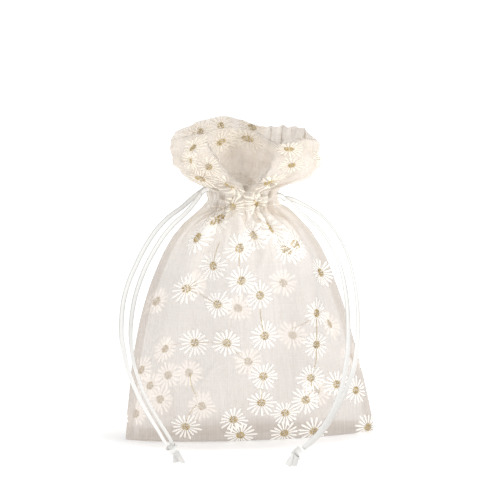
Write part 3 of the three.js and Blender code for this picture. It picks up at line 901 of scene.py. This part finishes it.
def organza(name, opacity, tint=1.0):
    """Sheer plain weave: fine threads both ways, streaks where threads bunch, and see-through gaps.

    From the shoulders up it is a little whiter and warmer: painted light that lifts the shade among the
    gathers of the neck and frill."""
    n = Nodes(name)
    streaks = n.noise(n.pattern(2100.0, 26.0), detail=3.0)
    cross = n.noise(n.pattern(50.0, 2000.0))
    cloud = n.noise(n.pattern(60.0, 60.0))
    # painted light: the colour grows whiter and warmer from the shoulders up, over the neck and frill
    painted_neck_light = n.map_range(n.parts(n.pattern(1.0, 1.0))[1], 0.078, 0.106, 0.0, 0.75)
    stops = ((0.08, (0.70, 0.635, 0.575)), (0.17, (0.76, 0.695, 0.64)),
             (0.83, (0.90, 0.82, 0.725)), (0.92, (0.96, 0.89, 0.81)))
    colour = n.ramp(n.math("MULTIPLY_ADD", cloud, 0.25, painted_neck_light), *tinted(stops, tint))
    n.join(colour, n.shader.inputs["Base Color"])
    cover = n.math("ADD", n.map_range(streaks, 0.3, 0.7, -0.07, 0.07),
                   n.map_range(cross, 0.3, 0.7, opacity - 0.03, opacity + 0.03))
    cover.node.use_clamp = True
    n.join(cover, n.shader.inputs["Alpha"])
    n.bump(n.math("ADD", streaks, cross), 0.25, 0.00015)
    n.set(Roughness=0.55, Sheen_Weight=0.35, Sheen_Roughness=0.4, Specular_IOR_Level=0.35)
    return n.material


def thread_white(name="embroidery_white", glow=0.12):
    """White embroidery thread, with painted shade on the neck and frill: it is darker and creamier there,
    among the gathers.

    Its glow is painted light that stands for the light coming through it from behind."""
    n = Nodes(name)
    lay = n.noise(n.pattern(9000.0, 500.0))
    white = n.ramp(lay, (0.3, (0.90, 0.86, 0.80)), (0.65, (0.99, 0.975, 0.945)))
    # painted shade: the thread darkens to cream above 83 mm, on the neck and frill
    painted_neck_shade = n.ramp(n.map_range(n.parts(n.place())[2], 0.083, 0.093, 0.0, 1.0),
                   (0.0, (1.0, 1.0, 1.0)), (1.0, (0.90, 0.85, 0.77)))
    n.join(n.vector("MULTIPLY", white, painted_neck_shade), n.shader.inputs["Base Color"])
    n.bump(lay, 0.5, 0.0001)
    # painted light: the thread glows, standing for light that comes through it from behind
    n.set(Roughness=0.42, Sheen_Weight=0.3, Specular_IOR_Level=0.5, Emission_Color=(1.0, 0.95, 0.9, 1.0),
          Emission_Strength=glow)
    return n.material


def thread_gold(name="embroidery_gold", tint=1.0, glow=0.0):
    """Gold thread in light and dark patches."""
    n = Nodes(name)
    stops = ((0.32, (0.40, 0.28, 0.09)), (0.5, (0.62, 0.46, 0.18)), (0.68, (0.86, 0.73, 0.44)))
    colour = n.ramp(n.noise(n.place(), 900.0), *tinted(stops, tint))
    n.join(colour, n.shader.inputs["Base Color"])
    n.bump(n.noise(n.pattern(9000.0, 600.0)), 0.5, 0.0001)
    n.set(Roughness=0.4, Sheen_Weight=0.2, Specular_IOR_Level=0.5, Emission_Color=(0.8, 0.5, 0.12, 1.0),
          Emission_Strength=glow)
    return n.material


def satin():
    """Satin ribbon: bright along its middle, with painted shade that greys its two edges where darker
    reflections would fall, and painted light that whitens it low down by the knots.
    """
    n = Nodes("satin_ribbon")
    from_middle = n.math("ABSOLUTE", n.parts(n.pattern(1000.0, 1000.0))[0])
    # painted shade: greyer towards the two edges, with a random mottle on top
    mottle_and_painted_edge_shade = n.math("MULTIPLY_ADD", n.noise(n.pattern(5000.0, 120.0)), 0.35, from_middle)
    # painted light: whiter low down near the floor and knots, greyer higher up
    painted_light_low_down = n.map_range(n.parts(n.place())[2], 0.02, 0.05, -0.85, 0.0)
    colour = n.ramp(n.map_range(n.math("ADD", mottle_and_painted_edge_shade, painted_light_low_down), 0.0, 1.45, 0.0, 1.0),
                    (0.36, (0.96, 0.95, 0.925)), (0.9, (0.42, 0.43, 0.38)))
    n.join(colour, n.shader.inputs["Base Color"])
    n.bump(n.noise(n.pattern(400.0, 6000.0)), 0.25, 0.0001)
    n.set(Roughness=0.3, Sheen_Weight=0.15, Specular_IOR_Level=0.55)
    return n.material


# ---------------------------------------------------------------- stage

def add_light(name, place, aim, energy, size, spread=math.pi):
    data = bpy.data.lights.new(name, "AREA")
    data.energy = energy
    data.shape = "DISK"
    data.size = size
    data.spread = spread
    light = bpy.data.objects.new(name, data)
    light.location = place
    light.rotation_euler = (Vector(aim) - Vector(place)).to_track_quat("-Z", "Y").to_euler()
    bpy.context.scene.collection.objects.link(light)


def add_stage():
    """A floor that shows a soft shadow near the pouch and fades to white, and the lights."""
    mesh = bpy.data.meshes.new("floor")
    half = 3.0
    corners = [(-half, -half, 0), (half, -half, 0), (half, half, 0), (-half, half, 0)]
    mesh.from_pydata(corners, [], [(0, 1, 2, 3)])
    floor = bpy.data.objects.new("floor", mesh)
    bpy.context.scene.collection.objects.link(floor)
    n = Nodes("pale_floor")
    n.set(Base_Color=(0.96, 0.96, 0.965, 1.0), Roughness=0.9, Specular_IOR_Level=0.1,
          Emission_Color=(1.0, 1.0, 1.0, 1.0))
    distance = n.add("ShaderNodeVectorMath", operation="LENGTH")
    n.feed(distance, n.vector("MULTIPLY", n.place(), (1.0, 2.6, 1.0)))
    # painted light: the floor glows weakly close to the pouch, so its contact shadow shows, and more further
    # out, washing the key light's shadow to white
    glow = n.ramp(distance.outputs["Value"], (0.042, (0.13, 0.13, 0.13)), (0.066, (0.45, 0.45, 0.45)),
                  (0.25, (0.55, 0.55, 0.55)), (1.0, (0.62, 0.62, 0.62)))
    n.join(glow, n.shader.inputs["Emission Strength"])
    mesh.materials.append(n.material)
    bpy.context.scene.world = studio()
    bpy.context.scene.view_settings.view_transform = "Standard"
    add_light("key", (0.73, -0.33, 0.6), (0, 0, 0.06), 2.85, 0.35)
    add_light("fill", (-0.6, -0.6, 0.35), (0, 0, 0.06), 0.72, 0.6)
    add_light("neck_accent", (0.42, -0.34, 0.15), (0.014, -0.005, 0.088), 0.0007, 0.03, math.radians(5.5))


def studio():
    """A white room: white to look at, softer as a light."""
    world = bpy.data.worlds.new("studio")
    world.use_nodes = True
    tree = world.node_tree
    seen = tree.nodes.new("ShaderNodeLightPath")
    level = tree.nodes.new("ShaderNodeMapRange")
    for k, number in enumerate((0.0, 1.0, 0.58, 1.0)):
        level.inputs[k + 1].default_value = number
    tree.links.new(seen.outputs["Is Camera Ray"], level.inputs[0])
    tree.links.new(level.outputs[0], tree.nodes["Background"].inputs[1])
    tree.nodes["Background"].inputs[0].default_value = (1.0, 1.0, 1.0, 1.0)
    return world


# ---------------------------------------------------------------- assembly

def main():
    add_camera()
    ribbon_look = satin()
    for name in ROUTES:
        make_tail(name, ribbon_look)
    for side in ("left", "right"):
        make_knot(side, ribbon_look)
        make_loop(side, ribbon_look)

    cloth_piece, cloth = make_cloth(organza("organza", 0.5))
    white = thread_white()
    # The back daisies get their own thread: the white with a strong painted glow, the gold darker with a
    # faint painted glow.
    embroidery = make_embroidery(cloth, white, thread_white("back_embroidery_white_painted_glow", 0.62), thread_gold(),
                                 thread_gold("back_embroidery_gold_painted_shade_and_glow", 0.8, 0.16))
    seams = make_seams(cloth, organza("seam_cloth", 0.6, 1.04))
    stitching = make_stitching(cloth, white)

    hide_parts("front_panel", "back_panel", "front_casing", "back_casing", "front_frill",
                "back_frill", "front_frill_facing", "back_frill_facing", "mouth_fold")
    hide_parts("left_side_seam", "right_side_seam", "bottom_seam", "left_frill_seam",
                "right_frill_seam")
    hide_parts("lower_stitching", "upper_stitching")
    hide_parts(*[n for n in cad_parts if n.startswith("front_daisy")])
    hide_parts(*[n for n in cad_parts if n.startswith("back_daisy")])
    for piece, name in ((cloth_piece, "organza"), (seams, "seam_cloth"), (stitching, "embroidery_thread"),
                        *[(piece, "embroidery_thread") for piece in embroidery]):
        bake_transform(piece)
    # The 33 mm past the flat height are turned inside: the heading and the casing.
    add_stage()


main()
